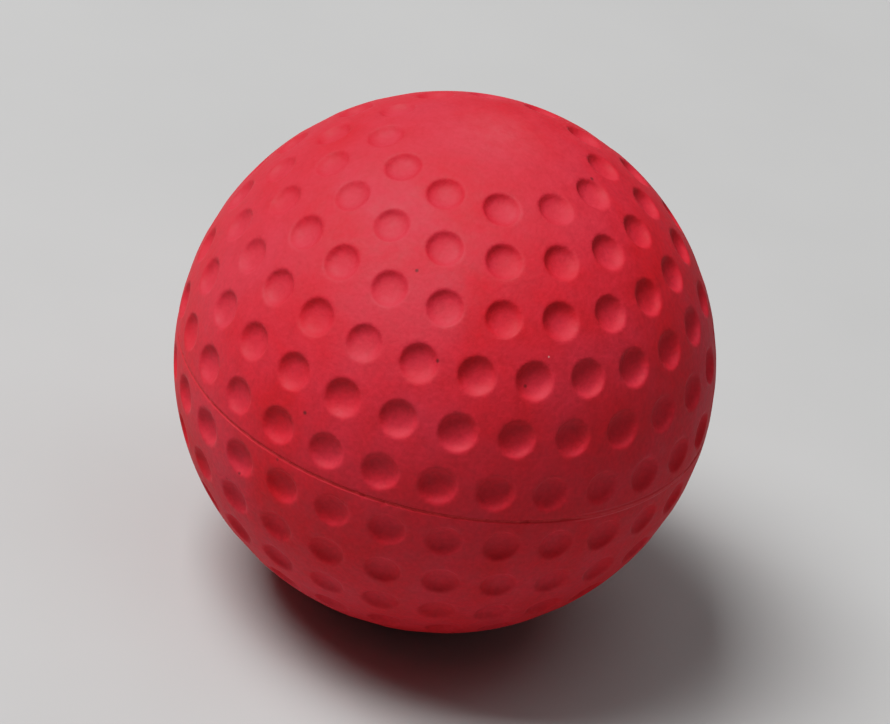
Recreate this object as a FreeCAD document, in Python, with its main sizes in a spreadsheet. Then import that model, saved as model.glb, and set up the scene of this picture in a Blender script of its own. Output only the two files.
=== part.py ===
import FreeCAD, Part
import math
import os

import Sketcher

# Dimpled cricket ball for bowling machines, in millimetres: two moulded half covers, joined at
# the equator by a lapped and bonded seam, round a light solid core.
#
# The origin is the centre of the ball. +Z is the axis through the two bald poles, the covers
# meet in the plane Z = 0, and +Y is the meridian where every ring of dimples on the upper half
# has its first dimple.

DIMENSIONS = {
    "ball_diameter": 72.0,
    "cover_wall": 5.0,
    "core_film": 0.25,  # adhesive between the core and the covers
    "seam_gap": 0.4,  # adhesive between the rims of the covers
    "seam_crown": 0.1,  # how far the trimmed seam stands above the ball
    "lap_height": 2.6,  # how far the lower cover's spigot reaches past the equator
    "lap_wall": 2.2,  # wall of the spigot at the equator
    "lap_film": 0.2,  # adhesive between the spigot and the upper cover's rebate
    "dimple_width": 4.9,  # across the lip
    "dimple_depth": 1.0,  # from the ball's surface to the dimple's floor
    "first_ring": 23.5,  # degrees from a pole to its first ring of dimples
    "ring_pitch": 12.0,  # degrees from one ring to the next
    "ring_count": 6,
    "equator_dimples": 30,  # how many dimples would go round the equator at the same spacing
    "half_clocking": 4.0,  # degrees that the lower cover is turned against the upper one
}

VOLUME_TOLERANCE = 0.002  # share by which a measured volume may differ from its formula

doc = FreeCAD.newDocument("DimpledCricketBall")


def add_sheet():
    sheet = doc.addObject("Spreadsheet::Sheet", "Dimensions")
    for row, (alias, value) in enumerate(DIMENSIONS.items(), start=1):
        sheet.set(f"A{row}", alias)
        sheet.set(f"B{row}", str(value))
        sheet.setAlias(f"B{row}", alias)
    doc.recompute()
    return sheet


sheet = add_sheet()


def cell(alias):
    """A cell of the sheet, as an expression names it."""
    return f"Dimensions.{alias}"


def amount(expression):
    """The number that an expression gives now."""
    return float(sheet.evalExpression(expression))


# Sizes that several sub-parts share, as expressions ---------------------------------------------

BALL_RADIUS = f"({cell('ball_diameter')} / 2)"
CAVITY_RADIUS = f"({BALL_RADIUS} - {cell('cover_wall')})"
CORE_RADIUS = f"({CAVITY_RADIUS} - {cell('core_film')})"

# The rims of the covers stand half the seam's gap from the equator.
RIM_HEIGHT = f"({cell('seam_gap')} / 2)"
RIM_RADIUS = f"sqrt({BALL_RADIUS} ^ 2 - {RIM_HEIGHT} ^ 2)"

# The lower cover's spigot enters the upper cover's rebate, with adhesive all round it.
SPIGOT_RADIUS = f"({CAVITY_RADIUS} + {cell('lap_wall')})"
SPIGOT_HEIGHT = f"({cell('lap_height')})"
REBATE_RADIUS = f"({SPIGOT_RADIUS} + {cell('lap_film')})"
REBATE_HEIGHT = f"({SPIGOT_HEIGHT} + {cell('lap_film')})"

# The seam's outer face is an arc from rim to rim, which stands above the ball by the crown.
CROWN_RISE = f"({BALL_RADIUS} + {cell('seam_crown')} - {RIM_RADIUS})"
CROWN_RADIUS = f"(({RIM_HEIGHT} ^ 2 + {CROWN_RISE} ^ 2) / (2 * {CROWN_RISE}))"

# A dimple is cut by a sphere that stands outside the ball, on the dimple's own radial line.
LIP_RADIUS = f"({cell('dimple_width')} / 2)"
LIP_DISTANCE = f"sqrt({BALL_RADIUS} ^ 2 - {LIP_RADIUS} ^ 2)"
FLOOR_DISTANCE = f"({BALL_RADIUS} - {cell('dimple_depth')})"
LIP_TO_FLOOR = f"({LIP_DISTANCE} - {FLOOR_DISTANCE})"
CUTTER_RADIUS = f"(({LIP_RADIUS} ^ 2 + {LIP_TO_FLOOR} ^ 2) / (2 * {LIP_TO_FLOOR}))"
CUTTER_DISTANCE = f"({FLOOR_DISTANCE} + {CUTTER_RADIUS})"


def ring_angle(ring):
    """Degrees from the pole to a ring of dimples, counted from 0."""
    return f"({cell('first_ring')} + {ring} * {cell('ring_pitch')})"


def dimples_in(ring):
    """How many dimples keep the equator's spacing round a ring."""
    return f"round({cell('equator_dimples')} * sin({ring_angle(ring)}))"


# Body and sketch helpers ------------------------------------------------------------------------


def new_body(label):
    body = doc.addObject("PartDesign::Body", label)
    body.Label = label
    return body


def origin_feature(body, role):
    return next(item for item in body.Origin.OriginFeatures if item.Role == role)


def attach(feature, body, role):
    feature.AttachmentSupport = [(origin_feature(body, role), "")]
    feature.MapMode = "FlatFace"


def add_section(body):
    """A sketch on the YZ plane: across is a radius, and up is along the ball's axis."""
    section = body.newObject("Sketcher::SketchObject", f"{body.Name}_section")
    attach(section, body, "YZ_Plane")
    return section


def add_line(section, start, end):
    return section.addGeometry(Part.LineSegment(FreeCAD.Vector(*start), FreeCAD.Vector(*end)))


def add_arc(section, centre, radius, low, high):
    """An arc on the outward side of its centre, between two heights above the centre."""
    circle = Part.Circle(FreeCAD.Vector(*centre), FreeCAD.Vector(0, 0, 1), radius)
    return section.addGeometry(
        Part.ArcOfCircle(circle, math.asin(low / radius), math.asin(high / radius))
    )


def constrain(section, *constraints):
    for parts in constraints:
        section.addConstraint(Sketcher.Constraint(*parts))


def dimension(section, name, expression, kind, *place):
    """A named dimension of a sketch, bound to its expression."""
    index = section.addConstraint(Sketcher.Constraint(kind, *place, amount(expression)))
    section.renameConstraint(index, name)
    section.setExpression(f"Constraints.{name}", expression)


def revolve(body, section):
    turned = body.newObject("PartDesign::Revolution", f"{body.Name}_turned")
    turned.Profile = section
    turned.ReferenceAxis = (section, ["V_Axis"])
    turned.Angle = 360.0
    body.Tip = turned


# Sketcher's numbers for a point of an edge, the origin and the axes.
START, END, CENTRE = 1, 2, 3
ORIGIN = (-1, 1)
ACROSS_AXIS, UP_AXIS = -1, -2


# Covers -----------------------------------------------------------------------------------------


def draw_cover(section, lap_radius, lap_end):
    """Half of a cover's wall, cut through the axis, with its lap on the inner side of the rim.

    lap_end is the height where the lap ends: above the rim it is a rebate, and below it a spigot.
    """
    ball, cavity = amount(BALL_RADIUS), amount(CAVITY_RADIUS)
    rim, end, lap = amount(RIM_HEIGHT), amount(lap_end), amount(lap_radius)
    rim_corner = (amount(RIM_RADIUS), rim, 0)
    end_corner = (math.sqrt(cavity**2 - end**2), end, 0)

    outside = add_arc(section, (0, 0, 0), ball, rim, ball)
    inside = add_arc(section, (0, 0, 0), cavity, end, cavity)
    axis = add_line(section, (0, cavity, 0), (0, ball, 0))
    rim_face = add_line(section, rim_corner, (lap, rim, 0))
    lap_face = add_line(section, (lap, rim, 0), (lap, end, 0))
    end_face = add_line(section, (lap, end, 0), end_corner)

    constrain(
        section,
        ("Coincident", outside, CENTRE, *ORIGIN),
        ("Coincident", inside, CENTRE, *ORIGIN),
        ("PointOnObject", outside, END, UP_AXIS),
        ("PointOnObject", inside, END, UP_AXIS),
        ("Coincident", inside, END, axis, START),
        ("Coincident", axis, END, outside, END),
        ("Coincident", outside, START, rim_face, START),
        ("Horizontal", rim_face),
        ("Coincident", rim_face, END, lap_face, START),
        ("Vertical", lap_face),
        ("Coincident", lap_face, END, end_face, START),
        ("Horizontal", end_face),
        ("Coincident", end_face, END, inside, START),
    )
    dimension(section, "ball_radius", BALL_RADIUS, "Radius", outside)
    dimension(section, "cavity_radius", CAVITY_RADIUS, "Radius", inside)
    dimension(section, "rim_height", RIM_HEIGHT, "DistanceY", *ORIGIN, outside, START)
    dimension(section, "lap_radius", lap_radius, "DistanceX", *ORIGIN, lap_face, START)
    dimension(section, "lap_end", lap_end, "DistanceY", *ORIGIN, inside, START)


def cut_ring(body, ring):
    """One dimple on the +Y meridian, repeated round the ball's axis."""
    dimple = body.newObject("PartDesign::SubtractiveSphere", f"{body.Name}_dimple_{ring}")
    attach(dimple, body, "XY_Plane")
    tilt = FreeCAD.Rotation(FreeCAD.Vector(1, 0, 0), -amount(ring_angle(ring)))
    dimple.AttachmentOffset = FreeCAD.Placement(FreeCAD.Vector(), tilt)
    dimple.setExpression("Radius", CUTTER_RADIUS)
    dimple.setExpression("AttachmentOffset.Base.y", f"{CUTTER_DISTANCE} * sin({ring_angle(ring)})")
    dimple.setExpression("AttachmentOffset.Base.z", f"{CUTTER_DISTANCE} * cos({ring_angle(ring)})")
    dimple.setExpression("AttachmentOffset.Rotation.Angle", f"-{ring_angle(ring)}")

    pattern = body.newObject("PartDesign::PolarPattern", f"{body.Name}_ring_{ring}")
    pattern.Originals = [dimple]
    pattern.Axis = (origin_feature(body, "Z_Axis"), [""])
    pattern.Angle = 360.0
    pattern.setExpression("Occurrences", dimples_in(ring))
    body.Tip = pattern


def add_cover(label, lap_radius, lap_end):
    """A half cover with its pole up and its rim by the plane Z = 0."""
    body = new_body(label)
    section = add_section(body)
    draw_cover(section, lap_radius, lap_end)
    revolve(body, section)
    for ring in range(DIMENSIONS["ring_count"]):
        cut_ring(body, ring)
    return body


def turn_over(body):
    """Points the pole down with the first dimples still at +Y, then clocks the cover about Z."""
    over = FreeCAD.Rotation(FreeCAD.Vector(0, 1, 0), 180)
    clock = FreeCAD.Rotation(FreeCAD.Vector(0, 0, 1), amount(cell("half_clocking")))
    body.Placement = FreeCAD.Placement(FreeCAD.Vector(), clock * over)


# Seam -------------------------------------------------------------------------------------------


def draw_seam(section):
    """The bonded joint, cut through the axis: round the spigot and out between the rims."""
    cavity, rim, outer = amount(CAVITY_RADIUS), amount(RIM_HEIGHT), amount(RIM_RADIUS)
    spigot, spigot_top = amount(SPIGOT_RADIUS), amount(SPIGOT_HEIGHT)
    rebate, rebate_top = amount(REBATE_RADIUS), amount(REBATE_HEIGHT)
    crown = amount(CROWN_RADIUS)
    crown_centre = (outer + amount(CROWN_RISE) - crown, 0, 0)
    spigot_edge = (math.sqrt(cavity**2 - spigot_top**2), spigot_top, 0)
    rebate_edge = (math.sqrt(cavity**2 - rebate_top**2), rebate_top, 0)

    crown_face = add_arc(section, crown_centre, crown, -rim, rim)
    upper_rim = add_line(section, (outer, rim, 0), (rebate, rim, 0))
    rebate_side = add_line(section, (rebate, rim, 0), (rebate, rebate_top, 0))
    rebate_end = add_line(section, (rebate, rebate_top, 0), rebate_edge)
    inside = add_arc(section, (0, 0, 0), cavity, spigot_top, rebate_top)
    spigot_end = add_line(section, spigot_edge, (spigot, spigot_top, 0))
    spigot_side = add_line(section, (spigot, spigot_top, 0), (spigot, -rim, 0))
    lower_rim = add_line(section, (spigot, -rim, 0), (outer, -rim, 0))

    constrain(
        section,
        ("PointOnObject", crown_face, CENTRE, ACROSS_AXIS),
        ("Vertical", crown_face, START, crown_face, END),
        ("Coincident", crown_face, END, upper_rim, START),
        ("Horizontal", upper_rim),
        ("Coincident", upper_rim, END, rebate_side, START),
        ("Vertical", rebate_side),
        ("Coincident", rebate_side, END, rebate_end, START),
        ("Horizontal", rebate_end),
        ("Coincident", rebate_end, END, inside, END),
        ("Coincident", inside, CENTRE, *ORIGIN),
        ("Coincident", inside, START, spigot_end, START),
        ("Horizontal", spigot_end),
        ("Coincident", spigot_end, END, spigot_side, START),
        ("Vertical", spigot_side),
        ("Coincident", spigot_side, END, lower_rim, START),
        ("Coincident", lower_rim, END, crown_face, START),
        ("Horizontal", lower_rim),
    )
    dimension(section, "crown_radius", CROWN_RADIUS, "Radius", crown_face)
    dimension(section, "rim_radius", RIM_RADIUS, "DistanceX", *ORIGIN, upper_rim, START)
    dimension(section, "rim_height", RIM_HEIGHT, "DistanceY", *ORIGIN, upper_rim, START)
    dimension(section, "cavity_radius", CAVITY_RADIUS, "Radius", inside)
    dimension(section, "rebate_radius", REBATE_RADIUS, "DistanceX", *ORIGIN, rebate_side, END)
    dimension(section, "rebate_height", REBATE_HEIGHT, "DistanceY", *ORIGIN, rebate_side, END)
    dimension(section, "spigot_radius", SPIGOT_RADIUS, "DistanceX", *ORIGIN, spigot_side, START)
    dimension(section, "spigot_height", SPIGOT_HEIGHT, "DistanceY", *ORIGIN, spigot_side, START)


def add_seam(label):
    body = new_body(label)
    section = add_section(body)
    draw_seam(section)
    revolve(body, section)
    return body


# Core -------------------------------------------------------------------------------------------


def add_sphere(body, kind, name, radius):
    ball = body.newObject(f"PartDesign::{kind}Sphere", f"{body.Name}_{name}")
    attach(ball, body, "XY_Plane")
    ball.setExpression("Radius", radius)
    body.Tip = ball


def add_core(label):
    body = new_body(label)
    add_sphere(body, "Additive", "ball", CORE_RADIUS)
    return body


def add_core_film(label):
    """The thin layer of adhesive that holds the core in the covers."""
    body = new_body(label)
    add_sphere(body, "Additive", "outside", CAVITY_RADIUS)
    add_sphere(body, "Subtractive", "inside", CORE_RADIUS)
    return body


# Checks and export ------------------------------------------------------------------------------


def ball_volume(radius):
    return 4 / 3 * math.pi * radius**3


def cap_volume(radius, height):
    """The part of a ball that a plane cuts off, with its height."""
    return math.pi * height**2 * (3 * radius - height) / 3


def dimples_volume():
    """What all the dimples take from one cover."""
    ball_cap = cap_volume(amount(BALL_RADIUS), amount(f"{BALL_RADIUS} - {LIP_DISTANCE}"))
    cutter_cap = cap_volume(amount(CUTTER_RADIUS), amount(LIP_TO_FLOOR))
    count = sum(amount(dimples_in(ring)) for ring in range(DIMENSIONS["ring_count"]))
    return count * (ball_cap + cutter_cap)


def same_volume(found, expected, what):
    if abs(found - expected) > VOLUME_TOLERANCE * expected:
        raise RuntimeError(f"{what} holds {found:.1f} mm3 and should hold {expected:.1f} mm3")


def check_states():
    for item in doc.Objects:
        if {"Invalid", "Error"} & set(item.State):
            raise RuntimeError(f"{item.Name} is {item.State}")


def check_shape(node):
    shape = node.Shape
    if shape.isNull() or not shape.isValid() or len(shape.Solids) != 1:
        raise RuntimeError(f"{node.Label} isn't one valid solid")


def check_volumes(covers, seam, film, core):
    """The pieces fill the ball exactly, apart from the dimples and with the seam's crown."""
    ball, cavity = ball_volume(amount(BALL_RADIUS)), ball_volume(amount(CAVITY_RADIUS))
    wall = ball - cavity - 2 * dimples_volume()
    outer_layer = sum(node.Shape.Volume for node in (*covers, seam))
    same_volume(outer_layer, wall, "the covers and the seam")
    same_volume(film.Shape.Volume, cavity - ball_volume(amount(CORE_RADIUS)), film.Label)
    same_volume(core.Shape.Volume, ball_volume(amount(CORE_RADIUS)), core.Label)


def write_steps(nodes):
    os.makedirs("parts", exist_ok=True)
    for node in nodes:
        node.Shape.exportStep(os.path.join("parts", f"{node.Label}.step"))


upper_cover = add_cover("upper_cover", REBATE_RADIUS, REBATE_HEIGHT)
lower_cover = add_cover("lower_cover", SPIGOT_RADIUS, f"(-{SPIGOT_HEIGHT})")
turn_over(lower_cover)
seam_bond = add_seam("seam_bond")
core_film = add_core_film("core_film")
core = add_core("core")
doc.recompute()

check_states()
sub_parts = [upper_cover, lower_cover, seam_bond, core_film, core]
for sub_part in sub_parts:
    check_shape(sub_part)
check_volumes([upper_cover, lower_cover], seam_bond, core_film, core)
write_steps(sub_parts)
for sub_part in sub_parts:
    print(f"{sub_part.Label}: {sub_part.Shape.Volume / 1000:.2f} cm3")
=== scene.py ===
import math
import random

import bpy
import numpy as np
from mathutils import Matrix, Vector


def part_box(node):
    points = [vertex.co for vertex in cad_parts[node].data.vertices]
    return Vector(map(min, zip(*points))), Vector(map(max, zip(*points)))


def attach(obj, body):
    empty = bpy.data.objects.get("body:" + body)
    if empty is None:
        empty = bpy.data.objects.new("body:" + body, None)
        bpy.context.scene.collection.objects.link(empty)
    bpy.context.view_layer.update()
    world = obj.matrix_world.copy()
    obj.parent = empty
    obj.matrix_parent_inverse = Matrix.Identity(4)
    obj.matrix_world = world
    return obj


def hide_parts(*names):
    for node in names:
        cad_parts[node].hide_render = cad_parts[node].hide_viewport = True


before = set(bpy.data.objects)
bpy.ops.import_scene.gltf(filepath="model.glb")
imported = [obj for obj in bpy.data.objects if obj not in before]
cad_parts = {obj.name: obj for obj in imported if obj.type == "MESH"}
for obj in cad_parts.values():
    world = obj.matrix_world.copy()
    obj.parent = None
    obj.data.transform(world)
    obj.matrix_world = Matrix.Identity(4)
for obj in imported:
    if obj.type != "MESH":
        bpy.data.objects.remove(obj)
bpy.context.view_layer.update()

# A moulded, dimpled cricket ball. Metres, in the CAD's frame: the centre of the ball is the origin,
# +Z is the axis through the two bald poles, and the two covers meet at the plane Z = 0.

MM = 0.001

# Sizes that the CAD nodes' boxes give.
BALL_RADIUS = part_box("upper_cover")[1].z
RIM_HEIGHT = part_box("upper_cover")[0].z
REBATE_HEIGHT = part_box("seam_bond")[1].z
SPIGOT_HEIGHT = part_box("lower_cover")[1].z
CAVITY_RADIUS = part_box("core_film")[1].z
CORE_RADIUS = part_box("core")[1].z

# The lap joint's wall, which no box shows. Its adhesive is as thick round the spigot as over it.
LAP_WALL = 2.2 * MM
SPIGOT_RADIUS = CAVITY_RADIUS + LAP_WALL
REBATE_RADIUS = SPIGOT_RADIUS + REBATE_HEIGHT - SPIGOT_HEIGHT

# The dimples: rings at even steps from each pole, with about the same spacing along every ring.
FIRST_RING = math.radians(23.5)
RING_PITCH = math.radians(12.0)
RING_COUNT = 6
EQUATOR_DIMPLES = 30  # how many would go round the equator at the same spacing
HALF_CLOCKING = math.radians(4.0)  # how far the lower cover is turned against the upper one
LIP_RADIUS = 2.45 * MM
DIMPLE_DEPTH = 1.0 * MM
DEPTH_SPREAD = 0.09 * MM  # the most by which a dimple's depth differs
LIP_ROUNDING = 0.18 * MM
WALL_RADIUS = 3.2 * MM
FLOOR_BLEND = 0.6 * MM

# A dimple's wall is part of a sphere through its lip, which runs out into a nearly flat floor.
LIP_ANGLE = math.asin(LIP_RADIUS / BALL_RADIUS)
FLOOR_DISTANCE = BALL_RADIUS - DIMPLE_DEPTH
WALL_DISTANCE = BALL_RADIUS * math.cos(LIP_ANGLE) + math.sqrt(WALL_RADIUS**2 - LIP_RADIUS**2)

# Slow waves that cooling leaves in a moulded skin, and a pale patch on each bald cap, part wear and
# part painted sheen.
SKIN_WAVE_COUNT = 14
SKIN_WAVE_LENGTHS = (7 * MM, 18 * MM)
SKIN_WAVE_DEPTH = 0.035 * MM
CAP_ANGLE = math.radians(9.0)

# The moulding line. Most of it is an open groove with rolled edges. Along the closed stretches,
# each given by its middle and half its length in degrees from +Y, a trimmed band stands proud.
EDGE_ROUNDING = 0.15 * MM
EDGE_ROLL = 0.5  # share of a full quarter-round by which the edges are rolled
SEAM_BAND = 1.4 * MM  # how far up a cover the line's marks reach
SEAM_SINK = 0.05 * MM
MISMATCH = 0.06 * MM  # the most by which one cover's edge lies below the other's
GROOVE_DEPTH = 0.05 * MM
FLASH_HEIGHT = 0.07 * MM  # how proud the trimmed band stands
FLASH_WIDTH = 0.25 * MM  # how far up each cover it reaches
FLASH_EDGE = 0.07 * MM  # how wide its edge is
CLOSED_STRETCHES = [(253, 17), (14, 30), (92, 11), (318, 12)]
CLOSED_FADE = 8  # degrees over which a stretch opens

# Nicks that the trimming blade left, scattered about the line.
NICK_COUNT = 40
NICK_SCATTER = 0.25 * MM
NICK_SIZES = (0.18 * MM, 0.45 * MM)
NICK_DEPTHS = (0.04 * MM, 0.14 * MM)

# The hollows between the core's granules, made by waves in all directions.
GRANULE_WAVE_COUNT = 40
GRANULE_WAVE_LENGTHS = (2.5 * MM, 6 * MM)
GRANULE_DEPTH = 0.25 * MM

# How far apart the points of the meshes are. Up from the rim, each step is longer than the last.
SKIN_SPACING = 0.34 * MM
SEAM_SPACING = 0.2 * MM
INSIDE_SPACING = 1.5 * MM
CORE_SPACING = 0.6 * MM
RIM_STEP = 0.04 * MM
RIM_STEP_GROWTH = 1.4
CROWN_ROWS = 9  # rows of points across the seam line's outer face
SHARP_ANGLE = math.radians(60)

# Points gather towards a dimple's lip: how much, and how far out, in dimple radii.
GATHER = 0.45
GATHER_OUTSIDE = 0.4

# The camera. Azimuth 0 looks along +Y, and positive azimuths stand further towards +X.
VIEW_AZIMUTH = math.radians(19.7)
VIEW_ELEVATION = math.radians(32.0)
VIEW_ROLL = math.radians(13.3)
VIEW_DISTANCE = 0.6
BALL_SHARE = 0.61  # the ball's share of the picture's width

# Square soft lights: direction in the camera's right, up and backward, size and power.
LIGHT_DISTANCE = 2.5
LIGHTS = {
    "key": ((-0.25, 0.77, 0.5), 1.3, 80.0),
    "fill": ((0.4, 0.7, 0.5), 1.8, 10.0),
}

# The room's own brightness, the brightness that the camera sees in its place, and half the width
# of the floor.
ROOM_LIGHT = 0.08
ROOM_SEEN = 0.58
FLOOR_HALF = 2.6

# A camera's tones, with soft highlights and deep shadows: brightness in the scene, in the picture.
TONE_CURVE = [
    (0.0, 0.0),
    (0.02, 0.0135),
    (0.05, 0.0465),
    (0.1, 0.1),
    (0.25, 0.25),
    (0.5, 0.5),
    (0.7, 0.65),
    (1.0, 0.74),
]

SEED = 7


# Shape of the skin ------------------------------------------------------------------------------


def ring_angles():
    return FIRST_RING + RING_PITCH * np.arange(RING_COUNT)


def dimple_counts():
    return np.round(EQUATOR_DIMPLES * np.sin(ring_angles())).astype(int)


def directions(polar, around):
    """Unit vectors, from the angle to the pole and the angle round it from +Y."""
    flat = np.sin(polar)
    return np.stack([-flat * np.sin(around), flat * np.cos(around), np.cos(polar)], axis=-1)


def nearest_dimples(polar, around):
    """The direction to the dimple nearest each point, and how much shallower it is than most."""
    draw = random.Random(SEED + 6)
    spread = np.array([[draw.uniform(-1, 1) for _ in range(EQUATOR_DIMPLES)] for _ in ring_angles()])
    ring = np.clip(np.round((polar - FIRST_RING) / RING_PITCH), 0, RING_COUNT - 1).astype(int)
    count = dimple_counts()[ring]
    step = 2 * math.pi / count
    place = np.round(around / step).astype(int)
    shallower = DEPTH_SPREAD * spread[ring, place % count]
    return directions(ring_angles()[ring], place * step), shallower


def gather_at_lips(away):
    """Angles from a dimple's centre, changed so that points lie closer together at its lip."""
    off = away / LIP_ANGLE - 1
    reach = np.where(off < 0, 1.0, GATHER_OUTSIDE)
    share = np.clip(1 - np.abs(off) / reach, 0, 1)
    return LIP_ANGLE * (1 + off * (1 - GATHER * share**2))


def smooth_minimum(first, second, width):
    """The lesser of two values, rounded off where they are within width of each other."""
    blend = np.clip(0.5 + 0.5 * (second - first) / width, 0, 1)
    return second + (first - second) * blend - width * blend * (1 - blend)


def random_waves(points, seed, count, lengths):
    """A sum of waves in random directions, most of it from -1 to 1."""
    draw = random.Random(seed)
    total = np.zeros(len(points))
    for _ in range(count):
        along = Vector([draw.gauss(0, 1) for _ in range(3)]).normalized()
        length = draw.uniform(*lengths)
        total += np.sin(2 * math.pi * (points @ np.array(along) / length + draw.random()))
    return total / math.sqrt(count)


def unevenness(points):
    """Slow waves in a moulded skin, from 0 to 1."""
    waves = random_waves(points, SEED + 4, SKIN_WAVE_COUNT, SKIN_WAVE_LENGTHS)
    return np.clip(0.5 + 0.25 * waves, 0, 1)


def skin(polar, around):
    """Points on a cover's dimpled face, and how deep in a dimple each is, from 0 to 1."""
    points = directions(polar, around)
    centres, shallower = nearest_dimples(polar, around)
    along = np.clip(np.sum(points * centres, axis=1), -1, 1)
    away = gather_at_lips(np.arccos(along))
    sideways = points - along[:, None] * centres
    length = np.linalg.norm(sideways, axis=1, keepdims=True)
    sideways = np.divide(sideways, length, out=np.zeros_like(sideways), where=length > 1e-9)
    points = np.cos(away)[:, None] * centres + np.sin(away)[:, None] * sideways

    # Where a line from the centre of the ball meets the wall's sphere, if it does.
    inside = WALL_RADIUS**2 - (WALL_DISTANCE * np.sin(away)) ** 2
    wall = WALL_DISTANCE * np.cos(away) - np.sqrt(np.clip(inside, 0, None))
    wall = np.where(inside > 0, wall, 2 * BALL_RADIUS)
    floor = FLOOR_DISTANCE / np.cos(np.minimum(away, LIP_ANGLE))
    bowl = shallower - smooth_minimum(-wall, -floor, FLOOR_BLEND)
    radius = smooth_minimum(np.full_like(bowl, BALL_RADIUS), bowl, LIP_ROUNDING)
    depth = np.clip((BALL_RADIUS - radius) / DIMPLE_DEPTH, 0, 1)
    return points * radius[:, None], depth


# The moulding line ------------------------------------------------------------------------------


def angle_around(points):
    return np.arctan2(-points[:, 0], points[:, 1])


def wander(around, seed, waves):
    """A smooth value from -1 to 1 that changes round the ball and meets itself."""
    draw = random.Random(seed)
    total = np.zeros_like(around)
    weight = 0.0
    for wave in waves:
        size = draw.uniform(0.6, 1.0)
        total += size * np.sin(wave * around + draw.uniform(0, 2 * math.pi))
        weight += size
    return total / weight


def closed_share(around):
    """1 along the closed stretches of the line and 0 where it is open."""
    share = np.zeros_like(around)
    for middle, half in CLOSED_STRETCHES:
        gap = (np.degrees(around) - middle + 180) % 360 - 180
        share = np.maximum(share, np.clip((half - np.abs(gap)) / CLOSED_FADE + 0.5, 0, 1))
    return share * share * (3 - 2 * share)


def make_nicks():
    """The angle round the ball, height, size and depth of each nick."""
    draw = random.Random(SEED)
    nicks = []
    for _ in range(NICK_COUNT):
        angle = draw.uniform(-math.pi, math.pi)
        height = draw.gauss(0, NICK_SCATTER)
        size = draw.uniform(*NICK_SIZES)
        depth = draw.uniform(*NICK_DEPTHS)
        nicks.append((angle, height, size, depth))
    return nicks


def nick_depth(points):
    """How deep the nicks are at each point."""
    around = angle_around(points)
    deep = np.zeros(len(points))
    for angle, height, size, depth in make_nicks():
        gap = (around - angle + math.pi) % (2 * math.pi) - math.pi
        distance = (gap * BALL_RADIUS) ** 2 + (points[:, 2] - height) ** 2
        deep = np.maximum(deep, depth * np.exp(-distance / size**2))
    return deep


def push_in(points, deep):
    """Points moved towards the centre of the ball."""
    return points - deep[:, None] * points / np.linalg.norm(points, axis=1, keepdims=True)


def above_rim(points):
    return np.clip(np.abs(points[:, 2]) - RIM_HEIGHT, 0, None)


def edge_at_seam(points, lower):
    """Shapes a cover's edge: rolled at the open line, proud along the closed stretches."""
    around = angle_around(points)
    above = above_rim(points)
    closed = closed_share(around)
    corner = np.clip(EDGE_ROUNDING - above, 0, EDGE_ROUNDING)
    roll = EDGE_ROLL * (EDGE_ROUNDING - np.sqrt(EDGE_ROUNDING**2 - corner**2))
    fade = np.clip(1 - above / SEAM_BAND, 0, 1) ** 2
    side = 1 if lower else -1
    offset = MISMATCH * np.clip(side * wander(around, SEED + 1, (1, 2, 3)), 0, 1)
    sunk = SEAM_SINK * (0.5 + 0.5 * wander(around, SEED + 2, (3, 5, 8, 13)))
    band = np.clip((FLASH_WIDTH - above) / FLASH_EDGE + 0.5, 0, 1)
    deep = roll * (1 - closed) + fade * (offset + sunk) + nick_depth(points)
    deep -= FLASH_HEIGHT * closed * band
    return push_in(points, np.where(fade > 0, deep, 0))


def flash_edges(points):
    """How near each point is to the pale edge of the trimmed band, from 0 to 1."""
    near = (above_rim(points) - FLASH_WIDTH) / FLASH_EDGE
    return closed_share(angle_around(points)) * np.exp(-(near**2))


# Meshes from rings of points --------------------------------------------------------------------


def stitch(first, second):
    """Triangles between two rings, each given as (index of its first point, count, turn)."""
    first_start, first_count, first_turn = first
    second_start, second_count, second_turn = second
    faces = []
    i = 0
    j = 0
    while i < first_count or j < second_count:
        first_next = (i + 1 + first_turn) / first_count
        second_next = (j + 1 + second_turn) / second_count
        here = first_start + i % first_count
        there = second_start + j % second_count
        if j == second_count or (i < first_count and first_next <= second_next):
            i += 1
            third = first_start + i % first_count
        else:
            j += 1
            third = second_start + j % second_count
        if third != here and third != there:
            faces.append((here, there, third))
    return faces


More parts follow.
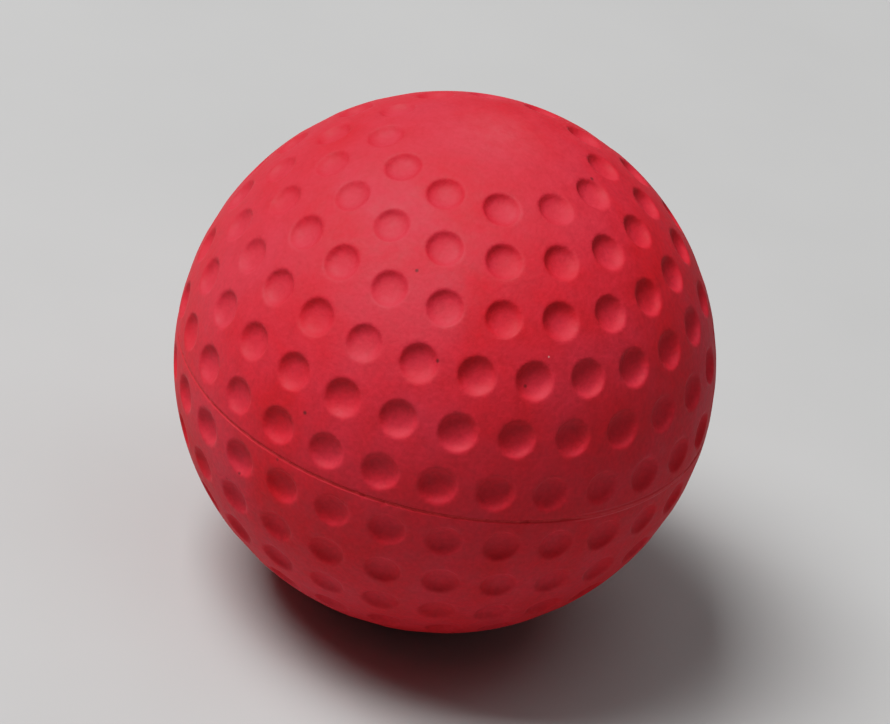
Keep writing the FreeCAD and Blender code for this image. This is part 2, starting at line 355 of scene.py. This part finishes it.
class Rings:
    """Rings of points about the Z axis. Each is joined to the next to make a surface."""

    def __init__(self):
        self.radii = []
        self.heights = []
        self.angles = []
        self.turns = []

    def add(self, radius, height, spacing):
        """A ring of that radius at that height, or the one point of a pole."""
        count = max(1, round(2 * math.pi * radius / spacing))
        turn = 0.5 * (len(self.turns) % 2)
        self.radii.append(np.full(count, radius))
        self.heights.append(np.full(count, height))
        self.angles.append((np.arange(count) + turn) / count * 2 * math.pi)
        self.turns.append(turn)

    def add_line(self, start, stop):
        """Rings along a straight line between two (radius, height) places, the first left out."""
        count = max(1, round(math.dist(start, stop) / INSIDE_SPACING))
        for share in np.linspace(0, 1, count + 1)[1:]:
            radius = start[0] + (stop[0] - start[0]) * share
            height = start[1] + (stop[1] - start[1]) * share
            self.add(radius, height, INSIDE_SPACING)

    def add_arc(self, radius, start, stop, spacing):
        """Rings on a sphere, from one angle from the pole to another, both included."""
        count = max(1, round(abs(stop - start) * radius / spacing))
        for angle in np.linspace(start, stop, count + 1):
            self.add(radius * math.sin(angle), radius * math.cos(angle), spacing)

    def size(self):
        return sum(len(ring) for ring in self.radii)

    def joined(self):
        """The radius, height and angle of every point."""
        return tuple(np.concatenate(rows) for rows in (self.radii, self.heights, self.angles))

    def points(self):
        radius, height, angle = self.joined()
        return np.stack([-radius * np.sin(angle), radius * np.cos(angle), height], axis=-1)

    def faces(self, closed):
        ends = []
        start = 0
        for ring, turn in zip(self.radii, self.turns):
            ends.append((start, len(ring), turn))
            start += len(ring)
        pairs = list(zip(ends, ends[1:]))
        if closed:
            pairs.append((ends[-1], ends[0]))
        return [face for first, second in pairs for face in stitch(first, second)]


def new_piece(name, points, faces, material, node):
    mesh = bpy.data.meshes.new(name)
    mesh.from_pydata(points.tolist(), [], faces)
    mesh.update()
    mesh.shade_smooth()
    mesh.set_sharp_from_angle(angle=SHARP_ANGLE)
    mesh.materials.append(material)
    piece = bpy.data.objects.new(name, mesh)
    bpy.context.scene.collection.objects.link(piece)
    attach(piece, "root")
    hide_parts(node)
    return piece


def store(piece, name, values):
    """Keeps a value for each of the first points, and 0 for the rest, for materials to read."""
    padded = np.zeros(len(piece.data.vertices), dtype=np.float32)
    padded[: len(values)] = values
    piece.data.attributes.new(name, "FLOAT", "POINT").data.foreach_set("value", padded)


# The pieces -------------------------------------------------------------------------------------


def seam_band_heights():
    """Heights above the rim, close together at the edge and wider apart up the cover."""
    height = 0.0
    step = RIM_STEP
    heights = []
    while height < SEAM_BAND:
        heights.append(height)
        height += step
        step *= RIM_STEP_GROWTH
    return heights


def skin_rings(rings):
    """The dimpled face from its pole to its rim, as rings of a plain sphere."""
    band = [math.acos((RIM_HEIGHT + height) / BALL_RADIUS) for height in seam_band_heights()]
    last = band[-1] - SKIN_SPACING / BALL_RADIUS
    rings.add_arc(BALL_RADIUS, 0, last, SKIN_SPACING)
    for angle in reversed(band):
        rings.add(BALL_RADIUS * math.sin(angle), BALL_RADIUS * math.cos(angle), SEAM_SPACING)


def build_cover(name, material, lower):
    """A cover from its outer pole over the rim and the lap to its inner pole."""
    rings = Rings()
    skin_rings(rings)
    skin_size = rings.size()

    lap_radius = SPIGOT_RADIUS if lower else REBATE_RADIUS
    lap_height = -SPIGOT_HEIGHT if lower else REBATE_HEIGHT
    cavity_edge = math.sqrt(CAVITY_RADIUS**2 - lap_height**2)
    corners = [
        (rings.radii[-1][0], RIM_HEIGHT),
        (lap_radius, RIM_HEIGHT),
        (lap_radius, lap_height),
        (cavity_edge, lap_height),
    ]
    for start, stop in zip(corners, corners[1:]):
        rings.add_line(start, stop)
    first = math.acos(lap_height / CAVITY_RADIUS) - INSIDE_SPACING / CAVITY_RADIUS
    rings.add_arc(CAVITY_RADIUS, first, 0, INSIDE_SPACING)

    points = rings.points()
    radius, height, angle = rings.joined()
    polar = np.arctan2(radius, height)[:skin_size]
    dimpled, depth = skin(polar, angle[:skin_size])
    if lower:
        turn_over = np.diag([-1, 1, -1])
        place = np.array(Matrix.Rotation(HALF_CLOCKING, 3, "Z")) @ turn_over
        points = points @ place.T
        dimpled = dimpled @ place.T
    clear_of_seam = np.clip(above_rim(dimpled) / SEAM_BAND, 0, 1)
    waves = SKIN_WAVE_DEPTH * unevenness(dimpled) * clear_of_seam
    dimpled = edge_at_seam(push_in(dimpled, waves), lower)
    points[:skin_size] = dimpled

    node = "lower_cover" if lower else "upper_cover"
    piece = new_piece(name, points, rings.faces(closed=False), material, node)
    store(piece, "depth", depth)
    store(piece, "cap", np.exp(-((polar / CAP_ANGLE) ** 2)))
    store(piece, "flash", flash_edges(dimpled))
    return piece


def build_seam(material):
    """The bond that fills the lap, with its trimmed line in the ball's face."""
    rings = Rings()
    for row in range(CROWN_ROWS):
        height = RIM_HEIGHT * (1 - 2 * row / (CROWN_ROWS - 1))
        rings.add(BALL_RADIUS, height, SEAM_SPACING)
    crown_size = rings.size()

    corners = [
        (BALL_RADIUS, -RIM_HEIGHT),
        (SPIGOT_RADIUS, -RIM_HEIGHT),
        (SPIGOT_RADIUS, SPIGOT_HEIGHT),
        (math.sqrt(CAVITY_RADIUS**2 - SPIGOT_HEIGHT**2), SPIGOT_HEIGHT),
        (math.sqrt(CAVITY_RADIUS**2 - REBATE_HEIGHT**2), REBATE_HEIGHT),
        (REBATE_RADIUS, REBATE_HEIGHT),
        (REBATE_RADIUS, RIM_HEIGHT),
        (BALL_RADIUS - INSIDE_SPACING, RIM_HEIGHT),
    ]
    for start, stop in zip(corners, corners[1:]):
        rings.add_line(start, stop)

    points = rings.points()
    crown = points[:crown_size]
    closed = closed_share(angle_around(crown))
    middle = 1 - (crown[:, 2] / RIM_HEIGHT) ** 2
    open_depth = EDGE_ROLL * EDGE_ROUNDING + GROOVE_DEPTH * middle
    radius = BALL_RADIUS - open_depth * (1 - closed) + FLASH_HEIGHT * closed
    crown[:, :2] *= (radius / np.linalg.norm(crown[:, :2], axis=1))[:, None]
    points[:crown_size] = push_in(crown, nick_depth(crown))
    piece = new_piece("seam_line", points, rings.faces(closed=True), material, "seam_bond")
    store(piece, "closed", closed)
    return piece


def granular(points):
    """Points of the core's face, pushed in between its granules."""
    waves = random_waves(points, SEED + 5, GRANULE_WAVE_COUNT, GRANULE_WAVE_LENGTHS)
    return push_in(points, GRANULE_DEPTH * np.clip(0.5 + 0.5 * waves, 0, 1))


def build_film(material):
    """The adhesive between the smooth inside of the covers and the granules of the core."""
    rings = Rings()
    rings.add_arc(CAVITY_RADIUS, 0, math.pi, INSIDE_SPACING)
    outside_size = rings.size()
    rings.add_arc(CORE_RADIUS, math.pi, 0, CORE_SPACING)
    points = rings.points()
    points[outside_size:] = granular(points[outside_size:])
    faces = rings.faces(closed=False)
    return new_piece("adhesive_film", points, faces, material, "core_film")


def build_core(material):
    """The bonded cork and rubber core, whose face shows its granules."""
    rings = Rings()
    rings.add_arc(CORE_RADIUS, 0, math.pi, CORE_SPACING)
    points = granular(rings.points())
    return new_piece("core_granules", points, rings.faces(closed=False), material, "core")


# Materials --------------------------------------------------------------------------------------


class Shader:
    """A new material with a Principled shader, and short ways to add nodes to it."""

    def __init__(self, name):
        self.material = bpy.data.materials.new(name)
        self.material.use_nodes = True
        self.tree = self.material.node_tree
        self.surface = self.tree.nodes["Principled BSDF"]
        self.place = self.node("ShaderNodeTexCoord").outputs["Object"]

    def node(self, kind, **settings):
        made = self.tree.nodes.new(kind)
        for key, value in settings.items():
            setattr(made, key, value)
        return made

    def feed(self, socket, value):
        """Links a socket to another node's output, or sets it to a number or colour."""
        if isinstance(value, bpy.types.NodeSocket):
            self.tree.links.new(value, socket)
        else:
            socket.default_value = value

    def noise(self, size, detail=3.0, roughness=0.55, distortion=0.0):
        """Noise with features of about that size, from about 0.3 to 0.7."""
        made = self.node("ShaderNodeTexNoise")
        self.feed(made.inputs["Vector"], self.place)
        self.feed(made.inputs["Scale"], 1 / size)
        self.feed(made.inputs["Detail"], detail)
        self.feed(made.inputs["Roughness"], roughness)
        self.feed(made.inputs["Distortion"], distortion)
        return made.outputs["Fac"]

    def cells(self, size, output="Distance", feature="F1"):
        """Cells of about that size: how far the nearest middle or edge is, or a colour for each."""
        made = self.node("ShaderNodeTexVoronoi", feature=feature)
        self.feed(made.inputs["Vector"], self.place)
        self.feed(made.inputs["Scale"], 1 / size)
        return made.outputs[output]

    def attribute(self, name):
        """A value that store keeps on the mesh."""
        made = self.node("ShaderNodeAttribute", attribute_name=name)
        return made.outputs["Fac"]

    def remap(self, value, low, high, to_low=0.0, to_high=1.0):
        """value from low..high to to_low..to_high, held at the ends."""
        made = self.node("ShaderNodeMapRange")
        self.feed(made.inputs["Value"], value)
        self.feed(made.inputs["From Min"], low)
        self.feed(made.inputs["From Max"], high)
        self.feed(made.inputs["To Min"], to_low)
        self.feed(made.inputs["To Max"], to_high)
        return made.outputs["Result"]

    def combine(self, operation, first, second):
        made = self.node("ShaderNodeMath", operation=operation)
        self.feed(made.inputs[0], first)
        self.feed(made.inputs[1], second)
        return made.outputs[0]

    def blend(self, share, first, second, mode="MIX"):
        """Two colours, mixed. The node's sockets for colours are told apart by their numbers."""
        made = self.node("ShaderNodeMix", data_type="RGBA", blend_type=mode)
        self.feed(made.inputs["Factor"], share)
        self.feed(made.inputs[6], first)
        self.feed(made.inputs[7], second)
        return made.outputs[2]

    def bump(self, height, strength, distance, normal=None):
        made = self.node("ShaderNodeBump")
        self.feed(made.inputs["Height"], height)
        self.feed(made.inputs["Strength"], strength)
        self.feed(made.inputs["Distance"], distance)
        if normal is not None:
            self.feed(made.inputs["Normal"], normal)
        return made.outputs["Normal"]

    def set(self, **values):
        """Sets the shader's own inputs, written with underscores for their spaces."""
        for name, value in values.items():
            self.feed(self.surface.inputs[name.replace("_", " ")], value)


def colour(red, green, blue):
    return (red, green, blue, 1.0)


def specks(shader, spacing, size, share):
    """Small soft-edged dots about spacing apart, of which only this share is kept."""
    distance = shader.cells(spacing)
    chance = shader.cells(spacing, "Color")
    edge = size / spacing
    near = shader.remap(distance, edge, 0.4 * edge)
    kept = shader.combine("LESS_THAN", chance, share)
    return shader.combine("MULTIPLY", near, kept)


def red_cover():
    """Moulded polyurethane: a waxy red under an uneven pale bloom, with a few specks, painted sheen
    in the dimples and a pale patch on each bald cap that is part wear, part painted sheen.
    """
    shader = Shader("moulded_red")
    clouds = shader.remap(shader.noise(15 * MM, detail=5, distortion=0.3), 0.3, 0.64)
    # Painted sheen: the deeper in a dimple, the paler the red. It is added to the real pale bloom.
    painted_hollow_sheen = shader.combine("MULTIPLY", shader.attribute("depth"), 0.3)
    bloom_and_hollow_sheen = shader.combine("ADD", clouds, painted_hollow_sheen)
    tint = shader.blend(bloom_and_hollow_sheen, colour(0.61, 0.009, 0.018), colour(0.61, 0.026, 0.045))
    mottle = shader.remap(shader.noise(2.2 * MM, detail=4, roughness=0.6), 0.34, 0.66)
    fine = shader.remap(shader.noise(0.6 * MM, detail=2), 0.3, 0.7, 0.92, 1.08)
    shade = shader.combine("MULTIPLY", shader.remap(mottle, 0, 1, 0.93, 1.05), fine)
    tint = shader.blend(1.0, tint, shade, "MULTIPLY")

    # Each bald cap gets a pale patch. Its faint streaks are wear, and the smooth paleness under them
    # is painted sheen.
    rubbed = shader.noise(1.6 * MM, detail=5, roughness=0.6)
    streaks = shader.remap(rubbed, 0.35, 0.7, 0.1, 0.24)
    cap_wear_and_sheen = shader.combine("MULTIPLY", shader.attribute("cap"), streaks)
    trimmed = shader.combine("MULTIPLY", shader.attribute("flash"), 0.45)
    pale = shader.combine("MAXIMUM", cap_wear_and_sheen, trimmed)
    tint = shader.blend(pale, tint, colour(0.74, 0.13, 0.15))
    dark = specks(shader, spacing=6 * MM, size=0.36 * MM, share=0.4)
    tint = shader.blend(dark, tint, colour(0.2, 0.016, 0.02))
    light = specks(shader, spacing=7.3 * MM, size=0.22 * MM, share=0.4)
    tint = shader.blend(light, tint, colour(0.8, 0.55, 0.5))

    matt = shader.remap(mottle, 0, 1, 0.66, 0.78)
    grain = shader.bump(shader.noise(0.6 * MM), 0.8, 0.05 * MM)
    lumps = shader.bump(shader.noise(2.1 * MM), 0.6, 0.1 * MM, grain)
    shader.set(Base_Color=tint, Roughness=matt, Normal=lumps, IOR=1.4)
    return shader.material


def seam_red():
    """The same polyurethane where the flash was trimmed off: rougher, with dirt in its groove."""
    shader = Shader("trimmed_seam_red")
    dirt = shader.remap(shader.noise(1.1 * MM, detail=4, roughness=0.6), 0.36, 0.62)
    tint = shader.blend(dirt, colour(0.60, 0.015, 0.024), colour(0.46, 0.010, 0.016))
    tint = shader.blend(shader.attribute("closed"), tint, colour(0.61, 0.022, 0.035))
    matt = shader.remap(dirt, 0, 1, 0.68, 0.8)
    torn = shader.bump(shader.noise(0.3 * MM, roughness=0.6), 0.5, 0.04 * MM)
    shader.set(Base_Color=tint, Roughness=matt, Normal=torn)
    return shader.material


def amber_glue():
    """Set adhesive, with streaks where it was spread."""
    shader = Shader("amber_adhesive")
    spread = shader.noise(6 * MM, detail=4, roughness=0.6, distortion=1.5)
    streaks = shader.remap(spread, 0.35, 0.65)
    tint = shader.blend(streaks, colour(0.5, 0.33, 0.15), colour(0.68, 0.5, 0.28))
    matt = shader.remap(streaks, 0, 1, 0.3, 0.42)
    drags = shader.bump(shader.noise(1.5 * MM), 0.4, 0.1 * MM)
    shader.set(Base_Color=tint, Roughness=matt, Normal=drags, IOR=1.5)
    return shader.material


def cork_core():
    """Granules of cork bound with dark rubber."""
    shader = Shader("cork_and_rubber")
    granule = 2.2 * MM
    pick = shader.cells(granule, "Color")
    edge = shader.cells(granule, feature="DISTANCE_TO_EDGE")
    cork = shader.blend(pick, colour(0.26, 0.14, 0.07), colour(0.5, 0.32, 0.17))
    binder = shader.remap(edge, 0.02, 0.1, 1, 0)
    tint = shader.blend(binder, cork, colour(0.05, 0.035, 0.03))
    pores = shader.remap(shader.noise(0.5 * MM, detail=4), 0.3, 0.5, 1, 0)
    tint = shader.blend(pores, tint, colour(0.12, 0.07, 0.04))
    matt = shader.remap(pores, 0, 1, 0.8, 0.95)
    relief = shader.bump(edge, 0.6, 0.3 * MM)
    shader.set(Base_Color=tint, Roughness=matt, Normal=relief)
    return shader.material


def pale_floor():
    """A matt grey sheet whose shade hardly drifts."""
    shader = Shader("pale_floor")
    drift = shader.remap(shader.noise(60 * MM), 0.35, 0.65)
    tint = shader.blend(drift, colour(0.47, 0.47, 0.467), colour(0.49, 0.49, 0.487))
    shader.set(Base_Color=tint, Roughness=0.7)
    return shader.material


# Camera, floor and lights -----------------------------------------------------------------------


def camera_axes():
    """The camera's right, up and backward directions."""
    back = Vector(
        (
            math.sin(VIEW_AZIMUTH) * math.cos(VIEW_ELEVATION),
            -math.cos(VIEW_AZIMUTH) * math.cos(VIEW_ELEVATION),
            math.sin(VIEW_ELEVATION),
        )
    )
    right = Vector((0, 0, 1)).cross(back).normalized()
    up = back.cross(right)
    roll = Matrix.Rotation(VIEW_ROLL, 3, back)
    return roll @ right, roll @ up, back


def add_camera():
    right, up, back = camera_axes()
    data = bpy.data.cameras.new("camera")
    apparent = 2 * math.tan(math.asin(BALL_RADIUS / VIEW_DISTANCE))
    data.lens = BALL_SHARE * data.sensor_width / apparent
    data.clip_start = 0.01
    data.clip_end = 10
    camera = bpy.data.objects.new("camera", data)
    facing = Matrix((right, up, back)).transposed().to_4x4()
    camera.matrix_world = Matrix.Translation(back * VIEW_DISTANCE) @ facing
    bpy.context.scene.collection.objects.link(camera)
    bpy.context.scene.camera = camera


def add_light(name, direction, size, power):
    """A square soft light, placed by the camera's directions and aimed at the ball."""
    towards_light = Matrix(camera_axes()).transposed() @ Vector(direction).normalized()
    data = bpy.data.lights.new(name, "AREA")
    data.shape = "SQUARE"
    data.size = size
    data.energy = power
    light = bpy.data.objects.new(name, data)
    light.location = towards_light * LIGHT_DISTANCE
    light.rotation_mode = "QUATERNION"
    light.rotation_quaternion = towards_light.to_track_quat("Z", "Y")
    bpy.context.scene.collection.objects.link(light)


def add_floor(material):
    half = FLOOR_HALF
    corners = [(-half, -half, 0), (half, -half, 0), (half, half, 0), (-half, half, 0)]
    mesh = bpy.data.meshes.new("floor")
    mesh.from_pydata(corners, [], [(0, 1, 2, 3)])
    mesh.materials.append(material)
    floor = bpy.data.objects.new("floor", mesh)
    floor.location.z = -BALL_RADIUS
    bpy.context.scene.collection.objects.link(floor)


def set_world():
    """A dim even room, which the camera sees as pale as the floor."""
    world = bpy.data.worlds.new("studio")
    world.use_nodes = True
    tree = world.node_tree
    background = tree.nodes["Background"]
    background.inputs["Color"].default_value = colour(0.98, 0.99, 1.0)
    rays = tree.nodes.new("ShaderNodeLightPath")
    strength = tree.nodes.new("ShaderNodeMapRange")
    strength.inputs["To Min"].default_value = ROOM_LIGHT
    strength.inputs["To Max"].default_value = ROOM_SEEN
    tree.links.new(rays.outputs["Is Camera Ray"], strength.inputs["Value"])
    tree.links.new(strength.outputs["Result"], background.inputs["Strength"])
    bpy.context.scene.world = world


def set_tones():
    """Sets the combined curve of the scene's view settings."""
    view = bpy.context.scene.view_settings
    view.view_transform = "Standard"
    view.use_curve_mapping = True
    combined = view.curve_mapping.curves[3]
    combined.points[0].location = TONE_CURVE[0]
    combined.points[1].location = TONE_CURVE[-1]
    for place in TONE_CURVE[1:-1]:
        combined.points.new(*place)
    view.curve_mapping.update()


def main():
    red = red_cover()
    build_cover("dimpled_cover_upper", red, lower=False)
    build_cover("dimpled_cover_lower", red, lower=True)
    build_seam(seam_red())
    build_film(amber_glue())
    build_core(cork_core())

    add_floor(pale_floor())
    for name, (direction, size, power) in LIGHTS.items():
        add_light(name, direction, size, power)
    set_world()
    add_camera()
    set_tones()


main()
